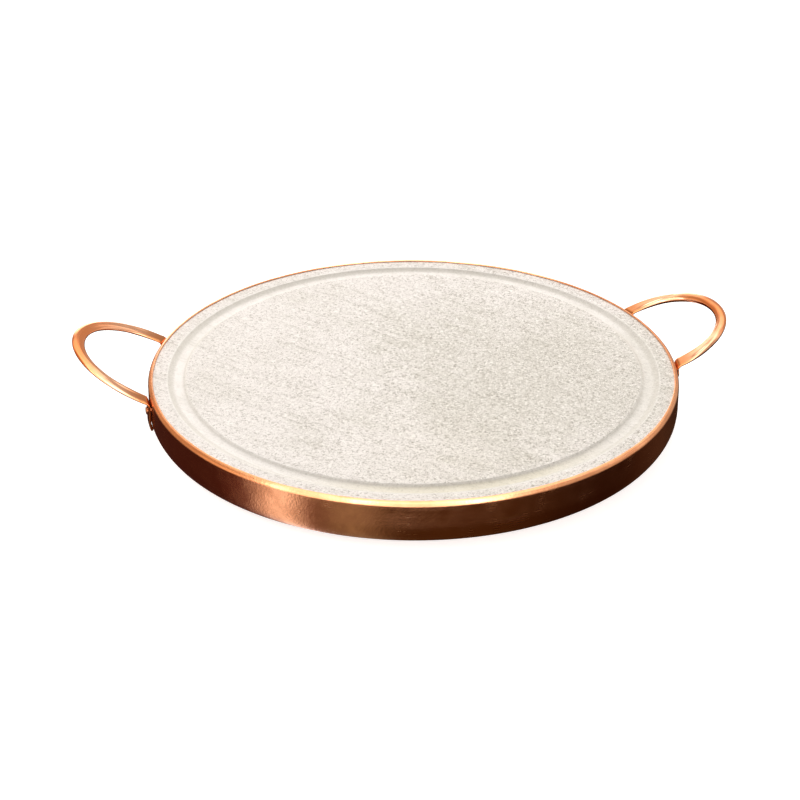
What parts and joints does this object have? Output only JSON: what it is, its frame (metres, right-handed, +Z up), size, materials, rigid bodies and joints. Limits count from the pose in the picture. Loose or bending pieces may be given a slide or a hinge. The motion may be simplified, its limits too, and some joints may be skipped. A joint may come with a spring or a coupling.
{
  "type": "soapstone baking pan",
  "caption": "Round soapstone baking disc with a shallow edge groove, held in a copper band with copper bow handles riveted to its sides.",
  "frame": {"origin": "centre of the stone's flat underside, the face that the pan stands on", "axes": "+Z up, out of the baking face; +X towards the right handle's side; +Y towards the back, midway between the two handles on the side that both lean to"},
  "size_m": [0.441, 0.3522, 0.0557],
  "materials": {
    "soapstone": "turned and rubbed pale soapstone, matt, finely speckled",
    "copper_sheet": "hand-worked copper sheet, satin, slightly darkened",
    "copper_tube": "bent and pressed copper tube, bright satin",
    "copper_rivet": "hammered copper, satin"
  },
  "bodies": {
    "root": {"stone_disc": "soapstone", "copper_band": "copper_sheet", "handle_left": "copper_tube", "handle_right": "copper_tube", "rivet_left_back": "copper_rivet", "rivet_left_front": "copper_rivet", "rivet_right_back": "copper_rivet", "rivet_right_front": "copper_rivet", "seam_rivet_1": "copper_rivet", "seam_rivet_2": "copper_rivet"}
  },
  "joints": []
}
